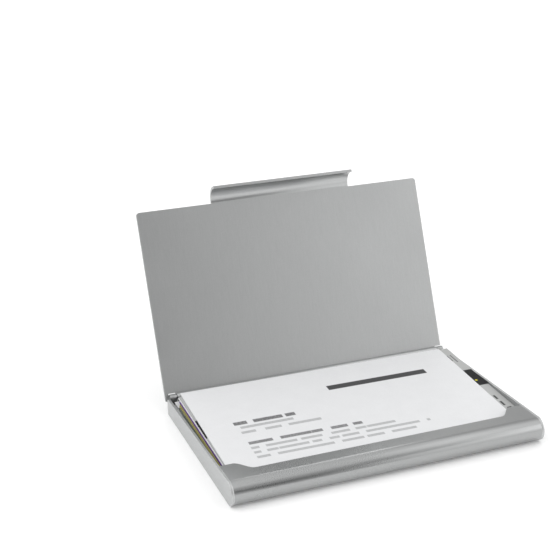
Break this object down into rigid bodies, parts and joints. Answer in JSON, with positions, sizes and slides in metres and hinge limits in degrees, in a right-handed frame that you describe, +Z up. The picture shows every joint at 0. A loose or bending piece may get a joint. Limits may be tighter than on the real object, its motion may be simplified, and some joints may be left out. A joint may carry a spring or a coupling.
{
  "type": "business card case",
  "caption": "Flat aluminium business card case with a half-round nose, a hinged lid whose tab folds over the nose, and a stack of cards inside, shown open.",
  "frame": {"origin": "centre of the tray's flat underside, on the surface that the case lies on", "axes": "+X along the length of the case, +Y from the nose to the hinge, +Z up, with the case lying flat and its lid open"},
  "size_m": [0.0927, 0.0825, 0.0622],
  "materials": {
    "tray_sheet": "satin anodised, fine grain",
    "lid_sheet": "satin anodised, fine grain across the lid",
    "side_plate": "fine bead-blasted and anodised",
    "rod_steel": "drawn wire",
    "card_white": "uncoated white card",
    "card_grey": "grey card with a black band",
    "card_purple": "dyed through",
    "card_olive": "dyed through",
    "card_yellow": "dyed through",
    "card_green": "dyed through"
  },
  "bodies": {
    "tray": {"base_shell": "tray_sheet", "side_plate_left": "side_plate", "side_plate_right": "side_plate", "hinge_rod": "rod_steel"},
    "lid": {"lid_panel": "lid_sheet"},
    "card_stack": {"card_white_top": "card_white", "card_banded": "card_grey", "card_purple": "card_purple", "card_olive": "card_olive", "card_yellow": "card_yellow", "card_green": "card_green", "card_plain_1": "card_white", "card_plain_2": "card_white", "card_plain_3": "card_white", "card_plain_4": "card_white", "card_plain_5": "card_white", "card_plain_6": "card_white", "card_plain_7": "card_white", "card_plain_8": "card_white", "card_plain_9": "card_white"}
  },
  "joints": [
    {"name": "lid_hinge", "type": "hinge", "parent": "tray", "child": "lid", "pos_m": [0, 0.03, 0.00484], "axis": [1, 0, 0], "range_deg": [0, 110.75]},
    {"name": "stack_tilt", "type": "hinge", "parent": "tray", "child": "card_stack", "pos_m": [0, -0.0265, 0.0008], "axis": [1, 0, 0], "range_deg": [-1.7, 0]}
  ],
  "couplings": [
    {"joint": "stack_tilt", "follows": "lid_hinge", "ratio": -0.015349}
  ]
}
